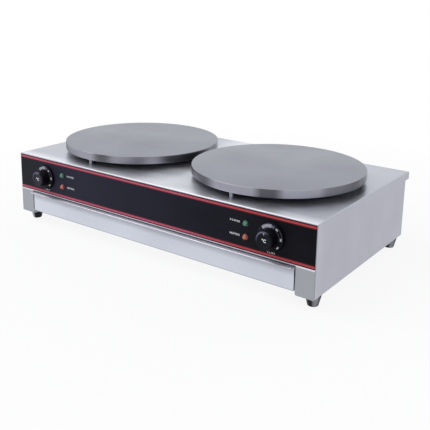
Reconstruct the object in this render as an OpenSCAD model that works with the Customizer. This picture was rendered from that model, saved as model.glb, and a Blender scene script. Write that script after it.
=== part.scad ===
// Electric crepe maker with two griddles: a folded steel case on four feet, a cast
// griddle heated from below on each half, a control for each, and a drawer under them.
// X runs to the right, Y to the back and Z up. The origin lies on the bench, under
// the middle of the overall box.

/* [Case] */
// Width of the steel case
case_w = 860; // [850:2:1000]
// Depth of the steel case, front face to rear panel
case_d = 446; // [440:2:520]
// Height of the steel case, without its feet
case_h = 156; // [152:2:200]
// Thickness of the folded case sheets
sheet_t = 1.2; // [0.8:0.1:2]
// Outside radius of the sheets' folds
fold_r = 2.6; // [2.4:0.1:5]
// How far the top reaches behind the rear panel
flange_d = 21.5; // [18:0.5:40]
// Height of the folded lip at the rear of the top
flange_h = 18; // [8:1:40]
// Width of the two posts beside the drawer
post_w = 43; // [40:1:60]
// Height of the drawer opening above the bottom of the case
opening_h = 61; // [50:1:64]
// Height of the electrics tray's folded edges
tray_edge = 12; // [6:1:16]

/* [Griddles] */
// Radius of each griddle
griddle_r = 200; // [180:1:204]
// Thickness of each griddle at its rim
griddle_t = 18.4; // [16:0.2:26]
// Space between the two griddles
griddle_space = 16.4; // [8:0.2:24]
// Height of the griddles above the case
griddle_lift = 12; // [11:0.5:30]
// How far the griddles' centres lie behind the middle of the case
griddle_shift = 3.3; // [0:0.1:8]
// Width of the griddle's full-thickness rim
rim_w = 20; // [18:1:30]
// Depth of the recess under the griddle
recess_h = 9; // [8.5:0.1:10]
// Radius of the pillars that carry a griddle
pillar_r = 4.5; // [4:0.25:7]
// Radius of the tubular heating element
element_r = 3.3; // [2.5:0.1:3.6]

/* [Controls] */
// Distance of a knob's axis from the side of the case
knob_inset = 99; // [80:1:120]
// Distance of the lamps from the knob's axis
lamp_offset = 60.3; // [48:0.1:80]
// Height between the two lamps of a control
lamp_pitch = 28.8; // [20:0.2:40]
// Distance of a knob's face from the case's front
knob_reach = 31; // [26:0.5:45]
// Radius of the knob's dial skirt
skirt_r = 30; // [28:0.5:33]
// Radius of the knob's grip at its root
grip_r = 19.6; // [17:0.2:22]
// Radius of the thermostat's shaft
shaft_r = 3; // [2.5:0.25:4]
// Radius of a lamp's barrel
lamp_r = 5; // [4:0.25:6]
// Radius of the flange around a lamp's lens
lens_r = 6.4; // [6.2:0.1:9]
// Thickness of the printed front panel
overlay_t = 0.8; // [0.5:0.1:1.2]
// Steel left bare beside the printed front panel
overlay_edge = 1.5; // [1:0.25:5]
// Steel left bare under the printed front panel
overlay_rise = 2.5; // [1:0.25:5]

/* [Drawer] */
// Height of the drawer front above the bottom of the case
drawer_rise = 7.5; // [6:0.5:14]
// Gap around the drawer front
drawer_gap = 3; // [2.5:0.25:4]
// How far the drawer's pull stands out
pull_d = 12; // [11:0.5:20]
// How far the pull slopes down to its edge
pull_fall = 0.5; // [0:0.5:6]
// Height of the pull's turned-down edge
pull_h = 3; // [3:0.5:8]
// Thickness of the drawer's sheets
drawer_t = 1; // [0.8:0.1:1.5]
// Space between the drawer pan and the rear panel
drawer_back = 43.6; // [36:0.4:70]
// Length of the drawer that stays in the case when it is drawn out
drawer_stay = 80; // [76:1:160]

/* [Feet] */
// Height of the feet
foot_h = 25; // [22:1:40]
// Radius of a foot at its top
foot_top_r = 17; // [14:0.5:17]
// Radius of a foot at its bottom
foot_low_r = 11; // [10:0.5:14]
// Distance of a foot's axis from the side of the case
foot_side = 18; // [17.5:0.5:20]
// Distance of the front feet's axes from the front of the case
foot_front = 31; // [24:1:60]
// Distance of the rear feet's axes from the rear panel
foot_rear = 27; // [22:1:60]

/* [Connections] */
// Offset of the cable gland from the middle of the rear panel
gland_x = 0; // [-20:5:20]
// Radius of the supply cable that the gland clamps
cable_r = 6.5; // [5:0.25:8]
// Radius of the earth terminal's thread
earth_r = 3; // [2.5:0.25:4]
// Distance of the earth terminal from the gland
earth_pitch = 60; // [40:5:80]

/* [Hidden] */

$fn = 72;
LEFT = -1;
RIGHT = 1;
SIDES = [LEFT, RIGHT];

// Clearances
cut = 1; // how far a cut runs past the face that it opens
seam = 0.2; // between sheets that meet in a visible seam
tie = 0.2; // how far a tube's core runs on into its bends
slip = 0.3; // between pieces that slide past each other
running = 0.05; // radial, around a turning shaft
screw_play = 0.2; // radial, around a screw or stud

// Case planes
z_case = foot_h;
z_top = z_case + case_h;
x_side = case_w / 2;
x_in = x_side - sheet_t;
y_front = knob_reach - (knob_reach + case_d + flange_d) / 2;
y_back = y_front + case_d;
y_rim = y_back + flange_d;
x_open = x_side - post_w;
z_open = z_case + opening_h;
z_tray = z_open + sheet_t;
post_corner = 4;
frame_return = 10;
frame_shelf = 24;
x_frame = x_in - seam;
z_frame = z_top - fold_r;
y_inner = y_front + sheet_t;
y_tray = y_front + frame_return + slip;
y_tray_end = y_back - 2 * sheet_t - seam;
tray_t = 1;
z_floor = z_tray + tray_t;
rear_flange = 14;
slot_pitch = 14;
slot_w = 4;
slot_low = 12;
slot_high = 26;

// Front panel and controls
x_overlay = x_side - overlay_edge;
z_overlay = [z_open + overlay_rise, z_frame - seam];
control_rise = 0.65;
z_control = (z_open + z_frame) / 2 + control_rise;
knob_x = x_side - knob_inset;
lamp_x = knob_x - lamp_offset;
skirt_clear = 0.8;
skirt_gap = overlay_t + skirt_clear;
skirt_wall = 2;
skirt_h = 5.4;
dial_h = 9;
grip_taper = 1;
grip_edge = 1.5;
grip_dish = 0.8;
hub_wall = 3.5;
hub_r = shaft_r + hub_wall;
grip_wall = 2;
shaft_cover = 5;
shaft_end = knob_reach - shaft_cover;
shaft_flat = 0.45 * shaft_r;
bush_wall = 2;
bush_r = shaft_r + bush_wall;
bush_reach = overlay_t + 2.5;
thermostat_w = 40;
thermostat_h = 34;
thermostat_d = 32;
thermostat_screw_x = 14;
thermostat_grip = 8;
yoke_t = 1.2;
blade = [0.8, 6.3, 9];
blade_x = 11;
m4_r = 2;
lamp_depth = 22;
lens_h = 7;
lens_flange = 1.6;

// Griddles and what they hold, in heights above a griddle's underside
griddle_x = griddle_r + griddle_space / 2;
griddle_y = (y_front + y_back) / 2 + griddle_shift;
z_griddle = z_top + griddle_lift;
griddle_edge = 1;
recess_r = griddle_r - rim_w;
boss_r = 12;
boss_bore_r = 4;
element_z = recess_h - element_r - seam;
clamp_t = 1.2;
clamp_z = element_z - element_r - clamp_t;
insulation_t = 5;
insulation_z = clamp_z - insulation_t;
pan_wall = 1;
heat_pan_z = insulation_z - pan_wall;
heat_pan_clear = 3;
heat_pan_r = recess_r - heat_pan_clear;
heat_pan_fold = 2.5;
element_bend = 1.6 * element_r;
ring_out = 0.83 * recess_r;
ring_in = 0.58 * recess_r;
line_x = 12;
ring_gap = line_x + element_bend;
leg_y = [-(ring_out + ring_in) / 2, -ring_in + 3 * element_bend];
leg_reach = 20;
leg_end = -griddle_lift - leg_reach;
leg_play = 2.4;
pin_r = 2;
pin_h = 12;
service_y = (leg_y[0] + leg_y[1]) / 2;
service_r = 26;
pillar_inset = rim_w / 2;
pillar_angles = [-90, 30, 150];
stud_r = 3;
stud_grip = recess_h;
stud_nut_h = 5;
stud_washer_t = 1.5;
stud_spare = 2;
z_stud_nut = -griddle_lift - sheet_t - stud_washer_t - stud_nut_h;
bulb_r = 2.8;
bulb_l = 80;
bulb_y = 30;
bulb_z = clamp_z + clamp_t + bulb_r + running;
tube_r = 1;
tube_bend = 4;
tube_side = 18;
tube_back = 8;
tube_clear = 30;
port = [14, 12];
tube_drop = [line_x - tube_side, service_y + tube_back];

// Drawer
pan_rise = 1.5;
pan_side = 1;
rim_side = 0.5;
rim_gap = 0.4;
z_pan = z_case + drawer_rise + pan_rise;
z_rim = z_open - rim_gap;
x_front = x_open - drawer_gap;
z_front = [z_case + drawer_rise, z_open - drawer_gap / 2];
rail_d = 12;
rail_h = 10;
rail_set_back = 2;
rail_start = frame_shelf + rail_set_back;
x_rail = x_open;
z_ledge = z_open - rail_h;
x_rim = x_rail - sheet_t - rim_side;
x_pan = x_rail - rail_d - pan_side;
y_pan_end = y_back - sheet_t - drawer_back;
drawer_travel = y_pan_end - y_inner - drawer_stay;
y_rail_end = y_pan_end + slip + sheet_t;
stop_h = 4;
stop_w = 5;

// Feet
foot_edge = 2;
foot_bore_r = 6.4;
foot_floor = 10;
foot_bore_h = foot_h - foot_floor;
foot_y = [y_front + foot_front, y_back - foot_rear];
m6_r = 3;
washer_t = 1.5;
foot_nut_h = 5;
foot_spare = 1;

// Rear connections
gland_rise = 26;
z_gland = z_floor + gland_rise;
gland_wall = 3.2;
gland_flat_r = 2 * cable_r;
gland_thread_r = cable_r + gland_wall;
gland_neck = 8;
gland_cap = 12;
gland_tail = 10;
gland_nut_h = 5;
earth_nut_h = 3.5;
earth_neck = earth_nut_h + 0.5;
earth_free = 10;
earth_inner = 8;
block_w = 84;
block_d = 24;
block_h = 20;
block_poles = 6;
block_back = 90;
block_y = y_back - block_back;
block_step = 12;
wire_r = 2.5;
wire_bend = 8;

// ---------------------------------------------------------------- shape helpers

// A box from its lowest corner to its highest
module block(low, high) {
    translate(low) cube(high - low);
}

// Draws a (Y, Z) outline in place and extrudes it from x0 to x1
module along_x(x0, x1) {
    translate([x0, 0, 0]) rotate([90, 0, 90]) linear_extrude(x1 - x0) children();
}

// Draws an (X, Z) outline in place and extrudes it from y0 to y1
module along_y(y0, y1) {
    translate([0, y1, 0]) rotate([90, 0, 0]) linear_extrude(y1 - y0) children();
}

// Both halves of what is symmetric about the middle plane
module both_halves() {
    children();
    mirror([1, 0, 0]) children();
}

// A rectangle from corner low to corner high, with round corners
module round_box(low, high, r) {
    translate([low[0] + r, low[1]]) square([high[0] - low[0] - 2 * r, high[1] - low[1]]);
    translate([low[0], low[1] + r]) square([high[0] - low[0], high[1] - low[1] - 2 * r]);
    for (x = [low[0] + r, high[0] - r], y = [low[1] + r, high[1] - r])
        translate([x, y]) circle(r);
}

// Stands children, drawn with +Z outwards, on the case's front at a point
module at_panel(x, z) {
    translate([x, y_front, z]) rotate([90, 0, 0]) children();
}

// Stands children, drawn with +Z outwards, on the rear panel at a point
module at_rear(x, z) {
    translate([x, y_back, z]) rotate([-90, 0, 0]) children();
}

// A round rod from point a to point b
module rod(a, b, r) {
    run = b - a;
    reach = norm(run);
    translate(a)
        rotate([0, acos(run[2] / reach), atan2(run[1], run[0])])
            cylinder(h = reach, r = r);
}

function unit(v) = v / norm(v);

// One bend of a route, around the corner p between its neighbours before and after
module elbow(before, p, after, r, bend) {
    back = unit(before - p);
    ahead = unit(after - p);
    half = acos(back * ahead) / 2;
    centre = p + unit(back + ahead) * bend / sin(half);
    u = unit(p + back * bend / tan(half) - centre);
    v = -back;
    w = cross(u, v);
    multmatrix([
        [u[0], v[0], w[0], centre[0]],
        [u[1], v[1], w[1], centre[1]],
        [u[2], v[2], w[2], centre[2]]
    ]) rotate_extrude(angle = 180 - 2 * half) translate([bend, 0]) circle(r);
}

// How much of a straight run the bend at corner i takes
function taken(points, i, bend) =
    i == 0 || i == len(points) - 1 ? 0 :
    bend / tan(acos(unit(points[i - 1] - points[i]) * unit(points[i + 1] - points[i])) / 2);

// A round tube through a list of points, bent at each corner; its core ties the parts
module route(points, r, bend) {
    for (i = [1 : len(points) - 1]) {
        along = unit(points[i] - points[i - 1]);
        start = points[i - 1] + along * taken(points, i - 1, bend);
        end = points[i] - along * taken(points, i, bend);
        rod(start, end, r);
        rod(
            start - (i == 1 ? -tie : tie) * along,
            end + (i == len(points) - 1 ? -tie : tie) * along,
            r / 2
        );
    }
    for (i = [1 : 1 : len(points) - 2])
        elbow(points[i - 1], points[i], points[i + 1], r, bend);
}

// A pan-head screw: head above z = 0, shank below
module pan_screw(r, length) {
    head_h = 1.2 * r;
    difference() {
        union() {
            cylinder(h = head_h / 2, r = 1.9 * r);
            translate([0, 0, head_h / 2]) cylinder(h = head_h / 2, r1 = 1.9 * r, r2 = 1.3 * r);
            translate([0, 0, -length]) cylinder(h = length + head_h / 2, r = r);
        }
        for (turn = [0, 90]) rotate(turn)
            translate([-r, -r / 6, head_h / 2]) cube([2 * r, r / 3, head_h]);
    }
}

// A hexagon nut on a bore, from z = 0 up
module hex_nut(r, height) {
    difference() {
        cylinder(h = height, r = 1.9 * r, $fn = 6);
        translate([0, 0, -cut]) cylinder(h = height + 2 * cut, r = r + running);
    }
}

// A flat washer on a bore, from z = 0 up
module washer(r, outer_r, height) {
    difference() {
        cylinder(h = height, r = outer_r);
        translate([0, 0, -cut]) cylinder(h = height + 2 * cut, r = r + screw_play);
    }
}

// ---------------------------------------------------------------- case

// The closed block that the wrapped sheet bounds, inset from its outside
module case_block(inset) {
    intersection() {
        along_y(y_front + inset, y_rim - inset)
            round_box([-x_side + inset, z_case + inset], [x_side - inset, z_top - inset], fold_r - inset);
        along_x(-x_side, x_side)
            round_box([y_front + inset, z_case - case_h], [y_rim - inset, z_top - inset], fold_r - inset);
    }
}

// Top, sides, bottom flanges and the rear overhang, all folded from one sheet
module case_shell() {
    color("lightgray") difference() {
        union() {
            difference() {
                case_block(0);
                case_block(sheet_t);
                block([-x_in, y_front - cut, z_case - cut], [x_in, y_inner, z_frame]);
                block([-x_open, y_front - cut, z_case - cut], [x_open, y_rim, z_case + 2 * sheet_t]);
                block([-x_side - cut, y_back, z_case - cut], [x_side + cut, y_rim + cut, z_top - flange_h]);
            }
            both_halves() block(
                [x_in - rear_flange, y_back - 2 * sheet_t, z_case + fold_r],
                [x_in + sheet_t / 2, y_back - sheet_t, z_top - fold_r]
            );
        }
        for (side = SIDES) translate([side * griddle_x, griddle_y, z_top - 2 * sheet_t]) {
            at_service() cylinder(h = 4 * sheet_t, r = service_r);
            at_pillars() cylinder(h = 4 * sheet_t, r = stud_r + screw_play);
        }
        at_feet() translate([0, 0, -cut]) cylinder(h = sheet_t + 2 * cut, r = m6_r + screw_play);
        at_rear_screws() translate([0, 0, -5 * sheet_t]) cylinder(h = 6 * sheet_t, r = m4_r + screw_play);
    }
}

// The front sheet's outline: two posts joined by the control panel's backing
module front_outline() {
    difference() {
        intersection() {
            round_box([-x_frame, z_case], [x_frame, z_top], fold_r);
            translate([-x_frame, z_case]) square([2 * x_frame, z_frame - z_case]);
        }
        translate([-x_open, z_case - cut]) square([2 * x_open, opening_h + cut]);
        for (side = SIDES) mirror([side == LEFT ? 1 : 0, 0])
            translate([x_open, z_case]) difference() {
                translate([-cut, -cut]) square(post_corner + cut);
                translate([post_corner, post_corner]) circle(post_corner);
            }
        for (side = SIDES) {
            translate([side * knob_x, z_control]) circle(bush_r + screw_play);
            for (x = [-1, 1]) translate([side * knob_x + x * thermostat_screw_x, z_control])
                circle(m4_r + screw_play);
            for (z = [-1, 1]) translate([side * lamp_x, z_control + z * lamp_pitch / 2])
                circle(lamp_r + screw_play);
        }
    }
}

// Posts and control backing in one sheet, with folded returns inside
module front_frame() {
    color("silver") {
        along_y(y_front, y_inner) front_outline();
        both_halves() {
            block(
                [x_frame - sheet_t, y_front, z_case + fold_r],
                [x_frame, y_front + frame_return, z_frame]
            );
            block(
                [x_open, y_front, z_case + post_corner],
                [x_open + sheet_t, y_front + frame_return, z_tray]
            );
        }
        block([-x_open, y_front, z_open], [x_open, y_front + frame_shelf, z_tray]);
    }
}

// Thin printed panel over the control backing
module control_overlay() {
    color("#24242a") along_y(y_front - overlay_t, y_front) difference() {
        round_box([-x_overlay, z_overlay[0]], [x_overlay, z_overlay[1]], overlay_edge);
        for (side = SIDES) {
            translate([side * knob_x, z_control]) circle(thermostat_screw_x + 2.2 * m4_r);
            for (z = [-1, 1]) translate([side * lamp_x, z_control + z * lamp_pitch / 2])
                circle(lamp_r + screw_play);
        }
    }
}

// Places children at the rear panel's screws, +Z outwards
module at_rear_screws() {
    for (side = SIDES, share = [0.15, 0.85])
        at_rear(side * (x_in - rear_flange / 2), z_case + case_h * share) children();
}

// Flat rear sheet with louvres over the electrics
module rear_panel() {
    slots = 12;
    slot_z = [z_floor + tray_edge + slot_low, z_top - slot_high];
    color("lightgray") difference() {
        along_y(y_back - sheet_t, y_back) difference() {
            round_box([-x_frame, z_case + sheet_t], [x_frame, z_top - sheet_t], fold_r);
            for (side = SIDES, i = [0 : slots - 1]) {
                x = side * griddle_x + (i - (slots - 1) / 2) * slot_pitch;
                round_box([x - slot_w / 2, slot_z[0]], [x + slot_w / 2, slot_z[1]], slot_w / 2 - seam);
            }
        }
        at_rear_screws() translate([0, 0, -2 * sheet_t]) cylinder(h = 3 * sheet_t, r = m4_r + screw_play);
        at_rear(gland_x, z_gland) translate([0, 0, -2 * sheet_t])
            cylinder(h = 3 * sheet_t, r = gland_thread_r + screw_play);
        at_rear(gland_x - earth_pitch, z_gland) translate([0, 0, -2 * sheet_t])
            cylinder(h = 3 * sheet_t, r = earth_r + screw_play);
    }
}

module rear_panel_screws() {
    color("silver") at_rear_screws() pan_screw(m4_r, 4 * sheet_t);
}

// Shallow tray that carries the electrics and closes the drawer bay above
module electrics_tray() {
    color("silver") difference() {
        block([-x_in, y_tray, z_tray], [x_in, y_tray_end, z_floor + tray_edge]);
        block(
            [-x_in + tray_t, y_tray + tray_t, z_floor],
            [x_in - tray_t, y_tray_end - tray_t, z_floor + tray_edge + cut]
        );
        at_rail_screws() translate([0, 0, -2 * tray_t]) cylinder(h = 3 * tray_t, r = m4_r + screw_play);
    }
}

// ---------------------------------------------------------------- drawer

// Places children at the rails' screws, on the tray's floor, +Z up
module at_rail_screws() {
    places = 3;
    length = y_rail_end - y_front - rail_start;
    for (side = SIDES, i = [0 : places - 1])
        translate([
            side * (x_rail - sheet_t - rail_d / 2),
            y_front + rail_start + length * (i + 0.5) / places,
            z_floor
        ]) children();
}

// C-section rail under the tray, open towards the drawer, closed at its rear end
module drawer_rail(side) {
    y0 = y_front + rail_start;
    stop_y = y_pan_end - drawer_t - drawer_travel - slip;
    color("silver") mirror([side == LEFT ? 1 : 0, 0, 0]) difference() {
        union() {
            difference() {
                block([x_rail - rail_d, y0, z_ledge], [x_rail, y_rail_end, z_tray]);
                block(
                    [x_rail - rail_d - cut, y0 - cut, z_ledge + sheet_t],
                    [x_rail - sheet_t, y_rail_end - sheet_t, z_tray - sheet_t]
                );
            }
            block(
                [x_rail - rail_d + sheet_t, stop_y - sheet_t, z_ledge],
                [x_rail - rail_d + sheet_t + stop_w, stop_y, z_ledge + sheet_t + stop_h]
            );
        }
        mirror([side == LEFT ? 1 : 0, 0, 0]) at_rail_screws()
            translate([0, 0, -4 * sheet_t]) cylinder(h = 4 * sheet_t, r = m4_r + screw_play);
    }
}

module rail_screws() {
    color("silver") at_rail_screws() pan_screw(m4_r, tray_t + sheet_t);
}

// What the drawer front and its sloping pull bound, inset from their outside
module pull_block(inset, low) {
    root = [y_inner - fold_r, z_front[1] - fold_r];
    tip = [y_front - pull_d + fold_r, z_front[1] - fold_r - pull_fall];
    slope = atan2(root[1] - tip[1], root[0] - tip[0]);
    r = fold_r - inset;
    side = [r, 0];
    up = r * [-sin(slope), cos(slope)];
    polygon([[root[0] + r, low], root + side, root + up, tip + up, tip - side, [tip[0] - r, low]]);
    for (centre = [root, tip]) translate(centre) circle(r);
}

// Drawer front and its pull, as the outline of one sheet folded forward and down
module drawer_front_outline() {
    low = z_front[0];
    difference() {
        pull_block(0, low);
        pull_block(sheet_t, low - cut);
        translate([y_front - pull_d - cut, low - cut])
            square([pull_d + cut, z_front[1] - pull_fall - pull_h - low + cut]);
    }
}

// Flat drawer front with short returns at its ends
module drawer_front() {
    color("silver") {
        along_x(-x_front, x_front) drawer_front_outline();
        both_halves() block(
            [x_front - sheet_t, y_front + sheet_t / 2, z_front[0]],
            [x_front, y_front + frame_return, z_ledge - cut]
        );
    }
}

// Open pan on turned-out rims that hang in the rails
module drawer_pan() {
    fold = 2 * drawer_t;
    color("lightgray") {
        difference() {
            along_y(y_inner, y_pan_end) round_box([-x_pan, z_pan], [x_pan, z_rim + fold], fold);
            along_y(y_inner + drawer_t, y_pan_end - drawer_t) round_box(
                [-x_pan + drawer_t, z_pan + drawer_t],
                [x_pan - drawer_t, z_rim + 2 * fold],
                fold / 2
            );
            block([-x_pan - cut, y_front, z_rim], [x_pan + cut, y_back, z_rim + 2 * fold]);
        }
        both_halves() {
            block([x_pan - drawer_t, y_inner, z_rim - drawer_t], [x_rim, y_pan_end, z_rim]);
            block([x_rim - drawer_t, y_inner, z_ledge + sheet_t + slip], [x_rim, y_pan_end, z_rim]);
            block(
                [x_pan - drawer_t, y_pan_end - drawer_t, z_ledge + sheet_t + slip],
                [x_rail - rail_d + sheet_t + stop_w, y_pan_end, z_rim]
            );
        }
    }
}

// ---------------------------------------------------------------- griddles

// Places children at a griddle's centre, with z = 0 at the griddle's underside
module at_griddle(side) {
    translate([side * griddle_x, griddle_y, z_griddle]) children();
}

// Places children at a griddle's three pillars
module at_pillars() {
    for (a = pillar_angles) rotate(a) translate([griddle_r - pillar_inset, 0, 0]) children();
}

// Places children at the hole that the element's legs and the sensor pass through
module at_service() {
    translate([line_x, service_y, 0]) children();
}

// Places children at the element's two legs
module at_legs() {
    for (y = leg_y) translate([line_x, y, 0]) children();
}

// Cast disc, recessed underneath, with a boss for the centre stud
module griddle(side) {
    at_griddle(side) color("#8d9095") difference() {
        rotate_extrude() difference() {
            intersection() {
                round_box([-griddle_r, 0], [griddle_r, griddle_t], griddle_edge);
                square([griddle_r, griddle_t]);
            }
            translate([boss_r, -cut]) square([recess_r - boss_r, recess_h + cut]);
            translate([-cut, -cut]) square([boss_r + 2 * cut, clamp_z + clamp_t + cut]);
        }
        translate([0, 0, -cut]) cylinder(h = recess_h + 3 + cut, r = boss_bore_r);
        translate([0, 0, -cut]) at_pillars() cylinder(h = stud_grip + cut, r = stud_r + running);
    }
}

// A stretch of the element's tube, bent around a centre from angle a on
module bend(centre, radius, a, sweep) {
    translate([centre[0], centre[1], 0]) rotate(a)
        rotate_extrude(angle = sweep) translate([radius, 0]) circle(element_r);
}

// A straight stretch of the element's tube along Y
module stretch(x, y0, y1) {
    translate([x, y0, 0]) rotate([-90, 0, 0]) cylinder(h = y1 - y0, r = element_r);
}

// Tubular element: an outer ring whose left end runs in to an inner one, and two legs
module element(side) {
    at_griddle(side) color("#4a4444") {
        translate([0, 0, element_z]) {
            for (radius = [ring_out, ring_in]) {
                bend([ring_gap, 0], radius, -90, 180);
                bend([-ring_gap, 0], radius, 90, 180);
                translate([-ring_gap, radius, 0]) rotate([0, 90, 0])
                    cylinder(h = 2 * ring_gap, r = element_r);
                bend([ring_gap, element_bend - radius], element_bend, 180, 90);
            }
            bend([-ring_gap, element_bend - ring_out], element_bend, -90, 90);
            bend([-ring_gap, -element_bend - ring_in], element_bend, 0, 90);
            stretch(-line_x, element_bend - ring_out, -element_bend - ring_in);
            stretch(line_x, element_bend - ring_out, leg_y[0] - element_bend);
            stretch(line_x, element_bend - ring_in, leg_y[1] - element_bend);
        }
        at_legs() {
            translate([0, -element_bend, element_z - element_bend]) rotate([90, 0, 90])
                bend([0, 0], element_bend, 0, 90);
            translate([0, 0, leg_end]) cylinder(h = element_z - element_bend - leg_end, r = element_r);
            translate([0, 0, leg_end - pin_h]) cylinder(h = pin_h, r = pin_r);
        }
    }
}

// The holes that the legs and the sensor's tube need through what lies under them
module passages(low, high) {
    translate([0, 0, low]) {
        at_legs() translate([0, -leg_play / 2, 0]) cylinder(h = high - low, r = element_r + leg_play);
        translate([tube_drop[0], tube_drop[1], 0]) cylinder(h = high - low, r = tube_r + 1);
        cylinder(h = high - low, r = boss_bore_r + screw_play);
    }
}

// Steel disc that presses the element against the griddle
module element_clamp(side) {
    at_griddle(side) color("silver") difference() {
        translate([0, 0, clamp_z]) cylinder(h = clamp_t, r = ring_out + 3 * element_r);
        passages(clamp_z - cut, clamp_z + clamp_t + cut);
    }
}

// Ceramic fibre disc between the clamp and the pan
module insulation(side) {
    at_griddle(side) color("#d9d4c8") difference() {
        translate([0, 0, insulation_z]) cylinder(h = insulation_t, r = heat_pan_r - heat_pan_fold);
        passages(insulation_z - cut, insulation_z + insulation_t + cut);
    }
}

// Dark dish that closes the recess from below
module heat_pan(side) {
    at_griddle(side) color("#1e1d1c") difference() {
        rotate_extrude() difference() {
            intersection() {
                round_box([-heat_pan_r, heat_pan_z], [heat_pan_r, recess_h + cut], heat_pan_fold);
                translate([0, heat_pan_z]) square([heat_pan_r, recess_h - heat_pan_z]);
            }
            intersection() {
                round_box(
                    [-heat_pan_r + pan_wall, insulation_z],
                    [heat_pan_r - pan_wall, recess_h + 3 * cut],
                    heat_pan_fold - pan_wall
                );
                translate([-cut, insulation_z]) square([heat_pan_r, recess_h - insulation_z + cut]);
            }
        }
        passages(heat_pan_z - cut, insulation_z + cut);
    }
}

// Hexagon bolt up through each heat pan into the griddle's boss
module heat_pan_bolts() {
    head_h = 4;
    color("silver") for (side = SIDES) at_griddle(side) {
        translate([0, 0, heat_pan_z - head_h]) cylinder(h = head_h, r = 1.7 * boss_bore_r, $fn = 6);
        translate([0, 0, heat_pan_z - cut])
            cylinder(h = recess_h - heat_pan_z + 2 * cut, r = boss_bore_r - running);
    }
}

// Spacers between the case and a griddle's rim
module pillars(side) {
    at_griddle(side) color("silver") at_pillars() translate([0, 0, -griddle_lift]) difference() {
        cylinder(h = griddle_lift, r = pillar_r);
        translate([0, 0, -cut]) cylinder(h = griddle_lift + 2 * cut, r = stud_r + screw_play);
    }
}

// Studs from the griddle rims down through pillars and case top
module pillar_studs() {
    color("silver") for (side = SIDES) at_griddle(side) at_pillars()
        translate([0, 0, z_stud_nut - stud_spare])
            cylinder(h = stud_grip - z_stud_nut + stud_spare, r = stud_r);
}

module pillar_nuts() {
    color("silver") for (side = SIDES) at_griddle(side) at_pillars() translate([0, 0, z_stud_nut]) {
        hex_nut(stud_r, stud_nut_h);
        translate([0, 0, stud_nut_h]) washer(stud_r, 2.2 * stud_r, stud_washer_t);
    }
}

// ---------------------------------------------------------------- controls

// Capillary thermostat: moulded body, steel yoke and the bush around its shaft
module thermostat(side) {
    yoke_w = 2 * thermostat_screw_x + 10;
    yoke_h = 20;
    at_panel(side * knob_x, z_control) color("#3a332c") difference() {
        union() {
            translate([0, 0, -sheet_t - yoke_t]) linear_extrude(yoke_t)
                round_box([-yoke_w / 2, -yoke_h / 2], [yoke_w / 2, yoke_h / 2], 3);
            translate([0, 0, -sheet_t - yoke_t - thermostat_d]) linear_extrude(thermostat_d)
                round_box([-thermostat_w / 2, -thermostat_h / 2], [thermostat_w / 2, thermostat_h / 2], 2);
            translate([0, 0, -sheet_t - yoke_t]) cylinder(h = sheet_t + yoke_t + bush_reach, r = bush_r);
            for (x = [-1, 1]) translate([
                x * blade_x - blade[0] / 2,
                -blade[1] / 2,
                -sheet_t - yoke_t - thermostat_d - blade[2]
            ]) cube([blade[0], blade[1], blade[2] + cut]);
        }
        translate([0, 0, -sheet_t - thermostat_d / 2])
            cylinder(h = thermostat_d, r = shaft_r + running);
        for (x = [-1, 1]) translate([x * thermostat_screw_x, 0, -sheet_t - 1.5 * thermostat_grip])
            cylinder(h = 1.5 * thermostat_grip + cut, r = m4_r + running);
    }
}

module thermostat_screws() {
    color("silver") for (side = SIDES, x = [-1, 1])
        at_panel(side * knob_x + x * thermostat_screw_x, z_control)
            pan_screw(m4_r, sheet_t + thermostat_grip);
}

// Turning shaft with a flat for the knob
module shaft(side) {
    inner = sheet_t + thermostat_d / 2 - seam;
    at_panel(side * knob_x, z_control) color("silver") difference() {
        translate([0, 0, -inner]) cylinder(h = shaft_end + inner, r = shaft_r);
        translate([-shaft_r, shaft_flat, bush_reach + cut]) cube([2 * shaft_r, shaft_r, shaft_end]);
    }
}

// Knob outline from its axis outwards: hollow dial skirt under a tapered grip
module knob_profile() {
    tip_r = grip_r - grip_taper;
    difference() {
        union() {
            polygon([
                [0, skirt_gap], [skirt_r, skirt_gap], [skirt_r, skirt_h],
                [skirt_r - 1.2, skirt_h + 1.2], [grip_r + 1, dial_h], [grip_r, dial_h + 1],
                [tip_r, knob_reach - grip_edge], [0, knob_reach - grip_edge]
            ]);
            square([tip_r - grip_edge, knob_reach]);
            translate([tip_r - grip_edge, knob_reach - grip_edge]) circle(grip_edge);
        }
        polygon([
            [hub_r, 0], [skirt_r - skirt_wall, 0], [skirt_r - skirt_wall, skirt_h - 1],
            [grip_r - grip_wall, dial_h - skirt_wall], [tip_r - grip_wall, knob_reach - 2 * grip_wall],
            [hub_r, knob_reach - 2 * grip_wall]
        ]);
        square([tip_r, skirt_gap]);
        translate([0, knob_reach - grip_dish]) square([tip_r - 3 * grip_edge, grip_dish + cut]);
    }
}

// Knob with a shallow pointer groove across its grip's edge
module knob(side) {
    pointer_w = 1.6;
    pointer_d = 0.6;
    at_panel(side * knob_x, z_control) color("#17171a") difference() {
        rotate_extrude() knob_profile();
        difference() {
            cylinder(h = shaft_end + seam, r = shaft_r + running);
            translate([-shaft_r, shaft_flat + running, bush_reach + cut + seam])
                cube([2 * shaft_r, shaft_r, shaft_end]);
        }
        cylinder(h = bush_reach + seam, r = bush_r + running + seam);
        translate([-pointer_w / 2, grip_r - 3 * grip_edge, knob_reach - pointer_d])
            cube([pointer_w, 4 * grip_edge, 2 * pointer_d]);
    }
}

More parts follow.
